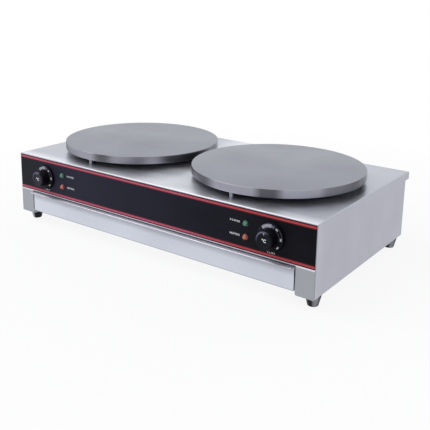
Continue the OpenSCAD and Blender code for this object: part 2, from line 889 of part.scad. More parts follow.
// Sensor bulb under the griddle and the fine tube that joins it to the thermostat
module sensor(side) {
    bulb_end = bulb_l / 2;
    x_out = bulb_end + 4 * tube_bend;
    y_turn = tube_drop[1] + tube_clear;
    x_port = side * (knob_x + port[0] - griddle_x);
    y_port = y_inner + yoke_t + thermostat_d - griddle_y;
    z_port = z_control + port[1] - z_griddle;
    at_griddle(side) color("#b87a4a") {
        rod([-bulb_end, bulb_y, bulb_z], [bulb_end, bulb_y, bulb_z], bulb_r);
        route([
            [0, bulb_y, bulb_z], [x_out, bulb_y, bulb_z], [x_out, y_turn, bulb_z],
            [tube_drop[0], y_turn, bulb_z], [tube_drop[0], tube_drop[1], bulb_z],
            [tube_drop[0], tube_drop[1], z_port], [x_port, tube_drop[1], z_port],
            [x_port, y_port, z_port]
        ], tube_r, tube_bend);
    }
}

// Domed lens on a flat flange; level is 1 for the upper lamp and -1 for the lower
module lens(side, level, shade) {
    dome_r = lamp_r + 0.4;
    dome_z = lens_h - dome_r;
    at_panel(side * lamp_x, z_control + level * lamp_pitch / 2) translate([0, 0, overlay_t])
        color(shade) {
            cylinder(h = lens_flange, r = lens_r);
            cylinder(h = dome_z, r = dome_r);
            intersection() {
                translate([0, 0, dome_z]) sphere(dome_r);
                cylinder(h = lens_h + cut, r = dome_r);
            }
        }
}

// Lamp barrels behind the lenses, each with two solder tags
module lamp_holders(side) {
    tag = [3, 0.8, 7];
    color("#222222") for (level = [-1, 1])
        at_panel(side * lamp_x, z_control + level * lamp_pitch / 2) {
            translate([0, 0, -lamp_depth]) cylinder(h = lamp_depth + overlay_t, r = lamp_r);
            for (y = [-1, 1]) translate([-tag[0] / 2, y * lamp_r / 2 - tag[1] / 2, -lamp_depth - tag[2]])
                cube([tag[0], tag[1], tag[2] + cut]);
        }
}

module lamp_nuts() {
    nut_h = 3;
    color("silver") for (side = SIDES, level = [-1, 1])
        at_panel(side * lamp_x, z_control + level * lamp_pitch / 2) translate([0, 0, -sheet_t - nut_h])
            difference() {
                cylinder(h = nut_h, r = lamp_r + 3, $fn = 6);
                translate([0, 0, -cut]) cylinder(h = nut_h + 2 * cut, r = lamp_r + running);
            }
}

// ---------------------------------------------------------------- wiring and rear connections

// Where pole i of the terminal block stands, from the block's middle
function pole_x(i) = (i - (block_poles - 1) / 2) * block_w / block_poles;

// Ceramic block on the tray, with a barrier between its poles
module terminal_block() {
    barrier_w = 2;
    translate([gland_x, block_y, z_floor]) color("#e9e4d8") difference() {
        union() {
            block([-block_w / 2, -block_d / 2, 0], [block_w / 2, block_d / 2, block_step]);
            for (i = [0 : block_poles]) block(
                [max(-block_w, 2 * pole_x(i - 0.5) - barrier_w) / 2, -block_d / 2, 0],
                [min(block_w, 2 * pole_x(i - 0.5) + barrier_w) / 2, block_d / 2, block_h]
            );
        }
        for (i = [0 : block_poles - 1], y = [-1, 1]) translate([pole_x(i), y * block_d / 4, block_step / 2])
            cylinder(h = block_h, r = m4_r + running);
    }
}

module terminal_screws() {
    color("#c8a850") translate([gland_x, block_y, z_floor + block_step])
        for (i = [0 : block_poles - 1], y = [-1, 1]) translate([pole_x(i), y * block_d / 4, 0])
            pan_screw(m4_r, 5);
}

// Start of the lead on a pole, counted outwards from the block's middle
function lead_start(side, i) = [
    gland_x + side * pole_x(block_poles / 2 + i),
    block_y - block_d / 2,
    z_floor + block_step / 2
];

// Three insulated leads: from the terminal block to a thermostat and to both element legs
module wiring(side) {
    z_low = z_floor + block_step / 2;
    tail = lead_start(side, 0);
    blade_end = [side * (knob_x - blade_x), y_inner + yoke_t + thermostat_d + blade[2], z_control];
    pin = [side * griddle_x + line_x, griddle_y + leg_y[0], z_griddle + leg_end - pin_h];
    y_run = (pin[1] + blade_end[1]) / 2;
    color("#c9c3b4") {
        route([
            tail, [tail[0], y_run, z_low], [blade_end[0], y_run, z_low],
            [blade_end[0], y_run, z_control], blade_end
        ], wire_r, wire_bend);
        for (i = [0, 1]) {
            start = lead_start(side, i + 1);
            y = griddle_y + leg_y[i];
            route([start, [start[0], y, z_low], [pin[0], y, z_low], [pin[0], y, pin[2]]], wire_r, wire_bend);
        }
    }
}

// Hexagon body, clamping cap and thread of the supply cable's gland
module cable_gland() {
    at_rear(gland_x, z_gland) color("#26272b") difference() {
        union() {
            cylinder(h = gland_neck, r = gland_flat_r, $fn = 6);
            translate([0, 0, gland_neck]) cylinder(h = gland_cap - 3, r = gland_flat_r - 1);
            translate([0, 0, gland_neck + gland_cap - 3])
                cylinder(h = 3, r1 = gland_flat_r - 1, r2 = cable_r + 2);
            translate([0, 0, -gland_tail]) cylinder(h = gland_tail + cut, r = gland_thread_r);
        }
        translate([0, 0, -gland_tail - cut])
            cylinder(h = gland_tail + gland_neck + gland_cap + 2 * cut, r = cable_r);
    }
}

module gland_nut() {
    at_rear(gland_x, z_gland) color("#26272b") translate([0, 0, -sheet_t - gland_nut_h]) difference() {
        cylinder(h = gland_nut_h, r = gland_flat_r + 1, $fn = 6);
        translate([0, 0, -cut]) cylinder(h = gland_nut_h + 2 * cut, r = gland_thread_r + running);
    }
}

// Stud for the bonding conductor, with a plain neck under its nuts
module earth_terminal() {
    at_rear(gland_x - earth_pitch, z_gland) color("#c8a850") {
        translate([0, 0, -earth_inner]) cylinder(h = earth_inner + earth_neck, r = earth_r - screw_play);
        translate([0, 0, earth_neck]) cylinder(h = earth_free, r = earth_r);
    }
}

// One nut on each side of the rear panel
module earth_nuts() {
    at_rear(gland_x - earth_pitch, z_gland) color("#c8a850")
        for (z = [0, -sheet_t - earth_nut_h]) translate([0, 0, z])
            hex_nut(earth_r - screw_play, earth_nut_h);
}

// ---------------------------------------------------------------- feet

// Places children at one foot's axis, with z = 0 at the bottom of the case
module at_foot(side, row) {
    translate([side * (x_side - foot_side), foot_y[row], z_case]) children();
}

// Places children at all four feet
module at_feet() {
    for (side = SIDES, row = [0, 1]) at_foot(side, row) children();
}

// Tapered rubber foot, counterbored from below for its screw
module foot(side, row) {
    at_foot(side, row) color("#2c2c2e") translate([0, 0, -foot_h]) rotate_extrude() difference() {
        union() {
            polygon([
                [0, foot_edge], [foot_low_r, foot_edge], [foot_top_r, foot_h - 1],
                [foot_top_r - 1, foot_h], [0, foot_h]
            ]);
            square([foot_low_r - foot_edge, foot_edge + cut]);
            translate([foot_low_r - foot_edge, foot_edge]) circle(foot_edge);
        }
        square([m6_r + screw_play, foot_h + cut]);
        translate([0, -cut]) square([foot_bore_r, foot_bore_h + cut]);
    }
}

module foot_washers() {
    color("silver") at_feet() translate([0, 0, foot_bore_h - foot_h - washer_t])
        washer(m6_r, foot_bore_r - seam, washer_t);
}

// Screws from below, heads up inside the feet
module foot_screws() {
    grip = foot_floor + washer_t + sheet_t + foot_nut_h + foot_spare;
    color("silver") at_feet() translate([0, 0, foot_bore_h - foot_h - washer_t])
        mirror([0, 0, 1]) pan_screw(m6_r, grip);
}

module foot_nuts() {
    color("silver") at_feet() translate([0, 0, sheet_t]) hex_nut(m6_r, foot_nut_h);
}

// ---------------------------------------------------------------- parts

case_shell();
front_frame();
control_overlay();
rear_panel();
electrics_tray();
drawer_rail(LEFT);  // drawer_rail_left
drawer_rail(RIGHT);  // drawer_rail_right
drawer_front();
drawer_pan();
griddle(LEFT);  // griddle_left
griddle(RIGHT);  // griddle_right
element(LEFT);  // element_left
element(RIGHT);  // element_right
element_clamp(LEFT);  // element_clamp_left
element_clamp(RIGHT);  // element_clamp_right
insulation(LEFT);  // insulation_left
insulation(RIGHT);  // insulation_right
heat_pan(LEFT);  // heat_pan_left
heat_pan(RIGHT);  // heat_pan_right
heat_pan_bolts();
pillars(LEFT);  // pillars_left
pillars(RIGHT);  // pillars_right
pillar_studs();
pillar_nuts();
thermostat(LEFT);  // thermostat_left
thermostat(RIGHT);  // thermostat_right
thermostat_screws();
shaft(LEFT);  // shaft_left
shaft(RIGHT);  // shaft_right
knob(LEFT);  // knob_left
knob(RIGHT);  // knob_right
sensor(LEFT);  // sensor_left
sensor(RIGHT);  // sensor_right
lens(LEFT, 1, "seagreen");  // power_lens_left
lens(RIGHT, 1, "seagreen");  // power_lens_right
lens(LEFT, -1, "orangered");  // heat_lens_left
lens(RIGHT, -1, "orangered");  // heat_lens_right
lamp_holders(LEFT);  // lamp_holders_left
lamp_holders(RIGHT);  // lamp_holders_right
lamp_nuts();
terminal_block();
terminal_screws();
wiring(LEFT);  // wiring_left
wiring(RIGHT);  // wiring_right
cable_gland();
gland_nut();
earth_terminal();
earth_nuts();
rear_panel_screws();
rail_screws();
foot(LEFT, 0);  // foot_front_left
foot(RIGHT, 0);  // foot_front_right
foot(LEFT, 1);  // foot_rear_left
foot(RIGHT, 1);  // foot_rear_right
foot_washers();
foot_screws();
foot_nuts();
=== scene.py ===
"""Looks of an electric crepe maker: a brushed steel case with a printed black control
panel, two griddles on short pillars, two dials and a drawer. Metres, +Z up, front at -Y."""

import math

import bmesh
import bpy
from mathutils import Matrix, Vector


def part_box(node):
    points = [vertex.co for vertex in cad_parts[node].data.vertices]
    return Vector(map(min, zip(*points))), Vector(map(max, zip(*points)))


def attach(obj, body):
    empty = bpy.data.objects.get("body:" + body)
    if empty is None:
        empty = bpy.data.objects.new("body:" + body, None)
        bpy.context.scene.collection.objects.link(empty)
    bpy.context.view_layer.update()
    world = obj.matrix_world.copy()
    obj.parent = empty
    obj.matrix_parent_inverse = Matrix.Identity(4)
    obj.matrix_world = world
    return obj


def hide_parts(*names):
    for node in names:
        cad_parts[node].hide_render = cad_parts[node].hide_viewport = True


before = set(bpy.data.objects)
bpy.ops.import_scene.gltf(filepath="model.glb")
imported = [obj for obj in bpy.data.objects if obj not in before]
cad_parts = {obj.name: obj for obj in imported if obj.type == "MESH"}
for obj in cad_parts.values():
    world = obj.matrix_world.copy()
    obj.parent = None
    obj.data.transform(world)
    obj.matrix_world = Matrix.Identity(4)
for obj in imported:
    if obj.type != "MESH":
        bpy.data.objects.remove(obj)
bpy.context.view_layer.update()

MM = 0.001
SIDES = ("left", "right")

# Thickness of every print
INK = 0.05 * MM


# ---------------------------------------------------------------- camera and stage

IMAGE_SIZE = 430
FOCAL_PIXELS = 684.23
OPTICAL_AXIS = (200.0, 140.0)
CAMERA_PLACE = (0.97587, -1.31737, 0.62527)
CAMERA_YAW = math.radians(36.855)
CAMERA_PITCH = math.radians(-13.271)
CAMERA_ROLL = math.radians(0.663)

# Level of the even light, and each lamp's name, place, target, size and power
STUDIO_LEVEL = 0.62
SOFTBOXES = (
    ("key", (-1.6, -1.2, 2.6), (0.0, 0.0, 0.1), 2.2, 38.0),
    ("fill", (2.4, -1.6, 1.6), (0.1, 0.0, 0.1), 1.8, 12.0),
)

# The floor's side, and the distances from the object over which its shadow fades to white
FLOOR_SIZE = 160.0
FADE_START = 0.5
FADE_END = 1.3


def add_camera():
    """The photographing camera: its axis lies above and left of the image's middle."""
    data = bpy.data.cameras.new("camera")
    data.sensor_width = 36.0
    data.lens = data.sensor_width * FOCAL_PIXELS / IMAGE_SIZE
    data.shift_x = 0.5 - OPTICAL_AXIS[0] / IMAGE_SIZE
    data.shift_y = OPTICAL_AXIS[1] / IMAGE_SIZE - 0.5
    camera = bpy.data.objects.new("camera", data)
    camera.matrix_world = (
        Matrix.Translation(CAMERA_PLACE)
        @ Matrix.Rotation(CAMERA_YAW, 4, "Z")
        @ Matrix.Rotation(math.pi / 2 + CAMERA_PITCH, 4, "X")
        @ Matrix.Rotation(CAMERA_ROLL, 4, "Z")
    )
    bpy.context.scene.collection.objects.link(camera)
    bpy.context.scene.camera = camera


def add_softbox(name, place, target, size, power):
    """A square area light at a place, turned to a target."""
    data = bpy.data.lights.new(name, "AREA")
    data.size = size
    data.energy = power
    light = bpy.data.objects.new(name, data)
    light.location = place
    towards = Vector(target) - Vector(place)
    light.rotation_euler = towards.to_track_quat("-Z", "Y").to_euler()
    bpy.context.scene.collection.objects.link(light)


# ---------------------------------------------------------------- material helpers


class Shader:
    """A node material with short calls for the nodes that this scene uses."""

    def __init__(self, name):
        self.material = bpy.data.materials.new(name)
        self.material.use_nodes = True
        self.tree = self.material.node_tree
        self.surface = self.tree.nodes["Principled BSDF"]

    def feed(self, socket, value):
        """Links an output to a socket, or sets a plain value on it."""
        if isinstance(value, bpy.types.NodeSocket):
            self.tree.links.new(value, socket)
        elif hasattr(value, "__len__") and len(value) == 3 and len(socket.default_value) == 4:
            socket.default_value = (*value, 1.0)
        else:
            socket.default_value = value

    def node(self, kind, inputs, **settings):
        made = self.tree.nodes.new("ShaderNode" + kind)
        for key, value in settings.items():
            setattr(made, key, value)
        for key, value in inputs.items():
            self.feed(made.inputs[key], value)
        return made

    def place(self):
        """Where a point lies on the object, in metres."""
        return self.node("TexCoord", {}).outputs["Object"]

    def parts(self, vector=None):
        """The x, y and z of a vector, or of where a point lies on the object."""
        return self.node("SeparateXYZ", {0: vector or self.place()}).outputs

    def vector(self, x=0.0, y=0.0, z=0.0):
        return self.node("CombineXYZ", {0: x, 1: y, 2: z}).outputs[0]

    def length(self, vector):
        return self.node("VectorMath", {0: vector}, operation="LENGTH").outputs["Value"]

    def facing(self, vector, direction):
        """How far a vector points in a direction: 1 along it, 0 across it."""
        outward = self.node("VectorMath", {0: vector}, operation="NORMALIZE").outputs[0]
        inputs = {0: outward, 1: direction}
        return self.node("VectorMath", inputs, operation="DOT_PRODUCT").outputs["Value"]

    def scaled(self, vector, scale):
        return self.node("VectorMath", {0: vector, 1: scale}, operation="MULTIPLY").outputs[0]

    def moved(self, vector, offset):
        return self.node("VectorMath", {0: vector, 1: offset}, operation="ADD").outputs[0]

    def noise(self, scale, detail=3.0, place=None):
        """Noise whose cells per metre are given along each axis."""
        at = self.scaled(place or self.place(), scale)
        return self.node("TexNoise", {"Vector": at, "Scale": 1.0, "Detail": detail}).outputs["Fac"]

    def number(self, operation, a, b=0.0):
        return self.node("Math", {0: a, 1: b}, operation=operation).outputs[0]

    def both(self, a, b):
        return self.number("MULTIPLY", a, b)

    def either(self, a, b):
        return self.number("MAXIMUM", a, b)

    def spread(self, value, low, high, start=0.3, end=0.7):
        """Maps start to end of a value onto low to high."""
        inputs = {"Value": value, "From Min": start, "From Max": end, "To Min": low, "To Max": high}
        return self.node("MapRange", inputs).outputs["Result"]

    def blend(self, share, first, second):
        """A colour between two colours."""
        return self.node("Mix", {0: share, 6: first, 7: second}, data_type="RGBA").outputs[2]

    def bump(self, height, depth):
        inputs = {"Height": height, "Distance": depth, "Strength": 1.0}
        return self.node("Bump", inputs).outputs["Normal"]

    def done(self, **inputs):
        """Feeds the surface's sockets, named with underscores for spaces."""
        for key, value in inputs.items():
            self.feed(self.surface.inputs[key.replace("_", " ")], value)
        return self.material


def tone(red, green, blue):
    """A colour from its screen values, 0 to 255."""
    return tuple(((v / 255 + 0.055) / 1.055) ** 2.4 for v in (red, green, blue))


def shade(colour, share):
    """A darker or lighter version of a colour."""
    return tuple(min(1.0, v * share) for v in colour)


# ---------------------------------------------------------------- materials

# Cells per metre of the brushed grain: few along it, many across it
GRAIN_LONG = 4.0
GRAIN_FINE = 700.0
ALONG_X = (GRAIN_LONG, GRAIN_FINE, GRAIN_FINE)
FOLDED = (GRAIN_LONG, GRAIN_FINE, GRAIN_LONG)

# Cells per metre of the painted reflection's dark and light bands around a griddle's rim, and where
# their noise starts
RIM_REFLECTION_CELLS = (11.0, 11.0, 1.0)
RIM_REFLECTION_START = (1.3, 0.2, 0.5)

# Direction across the grain, in which brushed steel spreads what it reflects
ACROSS_X = (0.0, 0.7, 0.7)
ACROSS_FOLDED = (0.0, 1.0, 0.0)


def brushed_steel(name, colour, roughness, grain=ALONG_X, across=ACROSS_X, painted_light=None):
    """Sheet steel with a brushed grain, faint clouds, wiped smears, and painted light and shade by
    place when a function for it is given.
    """
    s = Shader(name)
    fine = s.noise(grain, detail=4.0)
    coarse = s.noise(tuple(v * 0.1 for v in grain), detail=3.0)
    clouds = s.noise((4.0, 4.0, 4.0), detail=2.0)
    smears = s.noise((9.0, 14.0, 11.0), detail=5.0)
    streaks = s.number("ADD", s.both(fine, 0.6), s.both(coarse, 0.4))
    streaked = s.blend(s.spread(streaks, 0.0, 1.0), shade(colour, 0.97), shade(colour, 1.03))
    clouds_and_painted_light = s.blend(s.spread(clouds, 0.0, 0.5), streaked, shade(colour, 0.8))
    # Painted light and shade by place: highlights and shadows painted into the colour
    if painted_light:
        clouds_and_painted_light = painted_light(s, clouds_and_painted_light)
    wiped = s.spread(smears, roughness - 0.03, roughness + 0.08, 0.35, 0.75)
    brushed = s.number("ADD", wiped, s.spread(streaks, -0.02, 0.03))
    return s.done(
        Base_Color=clouds_and_painted_light,
        Metallic=1.0,
        Roughness=brushed,
        Anisotropic=0.5,
        Tangent=s.vector(*across),
        Normal=s.bump(streaks, 0.006 * MM),
    )


def wrap_painted_light(s, steel):
    """Painted light on the steel: a painted highlight at the top's front and middle, and painted
    shade on the sides and on the front fold.
    """
    x, y, _ = s.parts()
    out = s.number("ABSOLUTE", x)
    # Painted highlight: the top's front strip and middle are painted paler
    front = s.spread(y, 0.9, 0.0, CASE_LOW.y + 6 * MM, CASE_LOW.y + 34 * MM)
    inner = s.spread(out, 0.9, 0.0, 30 * MM, 110 * MM)
    painted_highlight = s.blend(s.either(front, inner), steel, tone(232, 233, 238))
    # Painted shade: the sides are painted darker
    beyond = s.spread(out, 0.0, 0.85, CASE_HIGH.x - 2 * MM, CASE_HIGH.x)
    painted_shade_sides = s.blend(beyond, painted_highlight, tone(177, 178, 190))
    # Painted shade: the front fold is painted darker to dim its highlight
    fold = s.spread(y, 0.6, 0.0, CASE_LOW.y + MM, CASE_LOW.y + 2 * MM)
    return s.blend(fold, painted_shade_sides, tone(120, 121, 128))


def front_painted_highlight(s, steel):
    """Painted highlight: the folded strip between the panel and the drawer is painted brighter."""
    height = s.parts()[2]
    under_panel = s.spread(height, 1.0, 0.0, PANEL_LOW.z, PANEL_LOW.z + 0.5 * MM)
    over_drawer = s.spread(height, 0.0, 1.0, DRAWER_HIGH.z, DRAWER_HIGH.z + 0.5 * MM)
    return s.blend(s.both(under_panel, over_drawer), steel, tone(222, 220, 228))


def drawer_painted_shade(s, steel):
    """Painted shade: the pull's hem is painted darker, and painted shadow darkens the pull's root,
    the plate below the pull and a line along the plate's bottom edge.
    """
    _, y, z = s.parts()
    face_y = PANEL_HIGH.y
    # Painted shade on the hem; painted shadow at the root, below the pull and along the bottom edge
    hem = s.spread(y, 0.42, 0.0, DRAWER_LOW.y + 0.6 * MM, DRAWER_LOW.y + 1.6 * MM)
    root = s.spread(y, 0.0, 0.85, face_y - 7 * MM, face_y - MM)
    crown = s.spread(z, 0.0, 1.0, DRAWER_HIGH.z - 1.5 * MM, DRAWER_HIGH.z - 0.5 * MM)
    below = s.spread(z, 0.0, 0.42, DRAWER_HIGH.z - 22 * MM, DRAWER_HIGH.z - 6 * MM)
    edge = s.spread(z, 0.4, 0.0, DRAWER_LOW.z + MM, DRAWER_LOW.z + 2 * MM)
    plate = s.spread(y, 0.0, 1.0, face_y - 2 * MM, face_y - MM)
    outside = s.spread(y, 1.0, 0.0, face_y + 1.3 * MM, face_y + 1.5 * MM)
    shaded = s.either(s.both(s.either(below, edge), plate), s.both(root, crown))
    return s.blend(s.either(hem, s.both(shaded, outside)), steel, tone(60, 61, 68))


def griddle_iron(name):
    """Machined cast iron: turned rings, fine pores, a faint seasoning, and painted reflection in
    dark and light bands round the rim.
    """
    s = Shader(name)
    x, y, z = s.parts()
    across = s.number("SUBTRACT", s.number("ABSOLUTE", x), GRIDDLE_X)
    radius = s.length(s.vector(across, s.number("SUBTRACT", y, GRIDDLE_Y)))
    rings = s.noise((700.0, 1.0, 1400.0), detail=4.0, place=s.vector(radius, z=z))
    pores = s.noise((1500.0, 1500.0, 1500.0), detail=2.0)
    season = s.noise((6.0, 6.0, 6.0), detail=4.0)
    bands = s.noise(RIM_REFLECTION_CELLS, detail=1.0, place=s.moved(s.place(), RIM_REFLECTION_START))
    light = tone(147, 147, 157)
    ringed = s.blend(s.spread(rings, 0.0, 1.0), shade(light, 0.96), shade(light, 1.04))
    aged = s.blend(s.spread(season, 0.0, 0.3, 0.4, 0.8), ringed, shade(light, 0.84))
    # Painted reflection: dark and light bands on the rim stand in for the surroundings mirrored in
    # it
    painted_reflection = s.blend(s.spread(bands, 0.0, 1.0, 0.42, 0.58), shade(light, 0.34), shade(light, 1.1))
    rim = s.spread(radius, 0.0, 1.0, GRIDDLE_RADIUS - 1.2 * MM, GRIDDLE_RADIUS - 0.6 * MM)
    height = s.number("ADD", s.both(rings, 0.7), s.both(pores, 0.3))
    return s.done(
        Base_Color=s.blend(rim, aged, painted_reflection),
        Metallic=0.9,
        Roughness=s.spread(season, 0.32, 0.44),
        Normal=s.bump(height, 0.012 * MM),
    )


def panel_film():
    """Satin printed film: near black, with painted light making it bluer and paler to the left, and
    wiped smears.
    """
    s = Shader("panel_film")
    along = s.parts()[0]
    smears = s.noise((7.0, 7.0, 12.0), detail=5.0)
    skin = s.noise((2500.0, 2500.0, 2500.0), detail=1.0)
    # Painted light: paler and bluer towards the left
    left = s.blend(s.spread(along, 0.0, 1.0, -0.42, -0.3), tone(32, 33, 38), tone(41, 42, 56))
    base = s.blend(s.spread(along, 0.0, 1.0, -0.2, 0.34), left, tone(9, 8, 14))
    return s.done(
        Base_Color=s.blend(s.spread(smears, 0.0, 0.15), base, tone(52, 54, 64)),
        Roughness=s.spread(smears, 0.36, 0.5),
        Normal=s.bump(skin, 0.01 * MM),
        Specular_IOR_Level=0.06,
    )


def ink(name, colour, right=None):
    """Screen-printed ink: slightly uneven, satin, and turning to a second, darker colour on the
    right as painted shade.
    """
    s = Shader(name)
    mottle = s.noise((900.0, 900.0, 900.0), detail=3.0)
    along = s.parts()[0]
    # Painted shade: the ink darkens towards the right when a second colour is given
    mixed = s.blend(s.spread(along, 0.0, 1.0, 0.1, 0.26), colour, right or colour)
    return s.done(
        Base_Color=s.blend(s.spread(mottle, 0.0, 0.15), mixed, shade(colour, 0.6)),
        Roughness=s.spread(mottle, 0.38, 0.5),
        Normal=s.bump(mottle, 0.01 * MM),
        Specular_IOR_Level=0.15,
    )


def knob_plastic(name, centre, cap):
    """Black knob plastic: a cap colour given per knob, a painted highlight on the tip's upper left
    edge, and a bluish painted highlight on the upper part of its skirt.
    """
    s = Shader(name)
    x, y, z = s.parts()
    spoke = s.vector(s.number("SUBTRACT", x, centre.x), z=s.number("SUBTRACT", z, centre.z))
    radius = s.length(spoke)
    facing = s.facing(spoke, (-0.6, 0.0, 0.8))
    tip_y = PANEL_HIGH.y - KNOB_REACH
    tip = s.spread(y, 1.0, 0.0, tip_y + 1.5 * MM, tip_y + 3 * MM)
    edge = s.spread(radius, 0.0, 1.0, GRIP_TIP - 3.5 * MM, GRIP_TIP - 2 * MM)
    # Painted highlight on the tip's edge, facing up and left
    painted_highlight = s.both(s.both(tip, edge), s.spread(facing, 0.0, 1.0, 0.3, 0.95))
    skirt = s.spread(y, 0.0, 0.7, PANEL_HIGH.y - 11 * MM, PANEL_HIGH.y - 8 * MM)
    # Painted highlight on the skirt, facing up and left
    painted_sheen = s.both(skirt, s.spread(facing, 0.0, 1.0, 0.1, 1.0))
    skin = s.noise((1400.0, 1400.0, 1400.0), detail=2.0)
    rubbed = s.noise((60.0, 60.0, 60.0), detail=4.0)
    black = s.blend(painted_sheen, tone(7, 6, 14), tone(36, 38, 60))
    faced = s.blend(s.both(tip, s.spread(edge, 1.0, 0.25, 0.0, 1.0)), black, cap)
    return s.done(
        Base_Color=s.blend(painted_highlight, faced, tone(104, 104, 124)),
        Roughness=s.spread(rubbed, 0.28, 0.42),
        Normal=s.bump(skin, 0.02 * MM),
        Specular_IOR_Level=0.07,
    )


def moulded(name, colour, roughness, pitch=1400.0, depth=0.02 * MM):
    """Moulded plastic or rubber with a fine skin and rubbed patches."""
    s = Shader(name)
    skin = s.noise((pitch, pitch, pitch), detail=2.0)
    rubbed = s.noise((60.0, 60.0, 60.0), detail=4.0)
    return s.done(
        Base_Color=s.blend(s.spread(rubbed, 0.0, 0.5), colour, shade(colour, 1.6)),
        Roughness=s.spread(rubbed, roughness - 0.04, roughness + 0.1),
        Normal=s.bump(skin, depth),
    )


def foot_rubber(name, centre, toward, painted_sheen):
    """Glossy black rubber with a painted highlight down the side that faces a direction."""
    s = Shader(name)
    x, y, _ = s.parts()
    spoke = s.vector(s.number("SUBTRACT", x, centre.x), s.number("SUBTRACT", y, centre.y))
    facing = s.spread(s.facing(spoke, toward), 0.0, 1.0, 0.84, 0.98)
    skin = s.noise((900.0, 900.0, 900.0), detail=3.0)
    scuffs = s.noise((90.0, 90.0, 300.0), detail=4.0)
    # Painted highlight down the side that faces the given direction
    lit = s.both(facing, s.spread(scuffs, 0.6, 1.0))
    return s.done(
        Base_Color=s.blend(lit, tone(22, 22, 30), painted_sheen),
        Roughness=s.spread(scuffs, 0.22, 0.4),
        Normal=s.bump(skin, 0.03 * MM),
        Specular_IOR_Level=0.15,
    )


def lens_resin(name, deep, bright):
    """Coloured lamp resin with painted light: paler on its crown, darker at its flange, with fine
    ribs.
    """
    s = Shader(name)
    # Painted light: paler towards the crown
    crown = s.spread(s.parts()[1], 1.0, 0.0, LENS_TIP_Y, LENS_FOOT_Y)
    ribs = s.noise((700.0, 90.0, 700.0), detail=2.0)
    lit = s.both(crown, s.spread(ribs, 0.75, 1.0))
    return s.done(
        Base_Color=s.blend(lit, deep, bright),
        Roughness=s.spread(ribs, 0.12, 0.24),
        Normal=s.bump(ribs, 0.08 * MM),
        Subsurface_Weight=0.2,
        Subsurface_Radius=(0.003, 0.003, 0.003),
        Coat_Weight=0.6,
        Coat_Roughness=0.08,
    )


def plated(name, colour, roughness, spots=0.25):
    """Turned or plated metal with a fine lathe grain and dull spots."""
    s = Shader(name)
    grain = s.noise((1200.0, 1200.0, 1800.0), detail=3.0)
    dull = s.noise((140.0, 140.0, 140.0), detail=4.0)
    return s.done(
        Base_Color=s.blend(s.spread(dull, 0.0, spots, 0.45, 0.75), colour, shade(colour, 0.6)),
        Metallic=1.0,
        Roughness=s.spread(dull, roughness, roughness + 0.18, 0.4, 0.75),
        Normal=s.bump(grain, 0.02 * MM),
    )


def fibrous(name, colour):
    """Ceramic fibre, woven sleeve or unglazed ceramic: matt with small lumps."""
    s = Shader(name)
    lumps = s.noise((500.0, 500.0, 500.0), detail=6.0)
    stains = s.noise((30.0, 30.0, 30.0), detail=3.0)
    mixed = s.blend(s.spread(lumps, 0.0, 1.0), shade(colour, 0.82), shade(colour, 1.08))
    return s.done(
        Base_Color=s.blend(s.spread(stains, 0.0, 0.3, 0.5, 0.8), mixed, shade(colour, 0.6)),
        Roughness=s.spread(lumps, 0.78, 0.95),
        Normal=s.bump(lumps, 0.2 * MM),
    )


def floor_material():
    """Pale floor that keeps the object's shadow and fades to white further out."""
    s = Shader("floor_pale")
    distance = s.length(s.place())
    grain = s.noise((40.0, 40.0, 40.0), detail=3.0)
    s.done(Base_Color=s.blend(grain, (0.8, 0.8, 0.81), (0.83, 0.83, 0.84)), Roughness=0.9)
    rays = s.node("LightPath", {}).outputs
    seen = s.either(rays["Is Camera Ray"], rays["Is Transmission Ray"])
    seen = s.either(seen, rays["Is Glossy Ray"])
    share = s.both(seen, s.spread(distance, 0.88, 1.0, FADE_START, FADE_END))
    white = s.node("Emission", {"Color": (1.0, 1.0, 1.0), "Strength": 1.0}).outputs[0]
    mixed = s.node("MixShader", {0: share, 1: s.surface.outputs[0], 2: white}).outputs[0]
    s.feed(s.tree.nodes["Material Output"].inputs["Surface"], mixed)
    return s.material


def set_world(level):
    """Even pale light of a level; plain white where the camera or a reflection sees it."""
    world = bpy.data.worlds.new("studio")
    world.use_nodes = True
    nodes, links = world.node_tree.nodes, world.node_tree.links
    background = nodes["Background"]
    background.inputs["Color"].default_value = (0.96, 0.98, 1.0, 1.0)
    rays = nodes.new("ShaderNodeLightPath").outputs
    strength = nodes.new("ShaderNodeMapRange")
    strength.inputs["To Min"].default_value = 1.0
    strength.inputs["To Max"].default_value = level
    links.new(rays["Is Diffuse Ray"], strength.inputs["Value"])
    links.new(strength.outputs["Result"], background.inputs["Strength"])
    bpy.context.scene.world = world


# ---------------------------------------------------------------- shape helpers


def middle(node):
    low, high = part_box(node)
    return (low + high) / 2


def link_piece(mesh, material, body, stands_for=()):
    """Puts a mesh into the scene as a piece of its name that rides on a body."""
    mesh.materials.clear()
    mesh.materials.append(material)
    piece = bpy.data.objects.new(mesh.name, mesh)
    bpy.context.scene.collection.objects.link(piece)
    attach(piece, body)
    if stands_for:
        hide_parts(*stands_for)
    return piece


def dress(nodes, material):
    """Gives carried-over CAD nodes a finished material."""
    for node in nodes:
        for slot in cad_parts[node].material_slots:
            slot.material = material


# Steps in each rounded corner, and the angle from which an edge stays sharp
FILLET_STEPS = 5
SHARP_ANGLE = math.radians(32.0)


def filleted(corners):
    """A closed outline from (x, y, radius) corners, each rounded by its radius."""
    outline = []
    for i, (x, y, radius) in enumerate(corners):
        here = Vector((x, y))
        if radius == 0:
            outline.append(here)
            continue
        back = (Vector(corners[i - 1][:2]) - here).normalized()
        ahead = (Vector(corners[(i + 1) % len(corners)][:2]) - here).normalized()
        half = back.angle(ahead) / 2
        centre = here + (back + ahead).normalized() * radius / math.sin(half)
        first = here + back * radius / math.tan(half) - centre
        last = here + ahead * radius / math.tan(half) - centre
        sweep = first.angle_signed(last)
        for k in range(FILLET_STEPS + 1):
            outline.append(centre + Matrix.Rotation(-sweep * k / FILLET_STEPS, 2) @ first)
    return outline


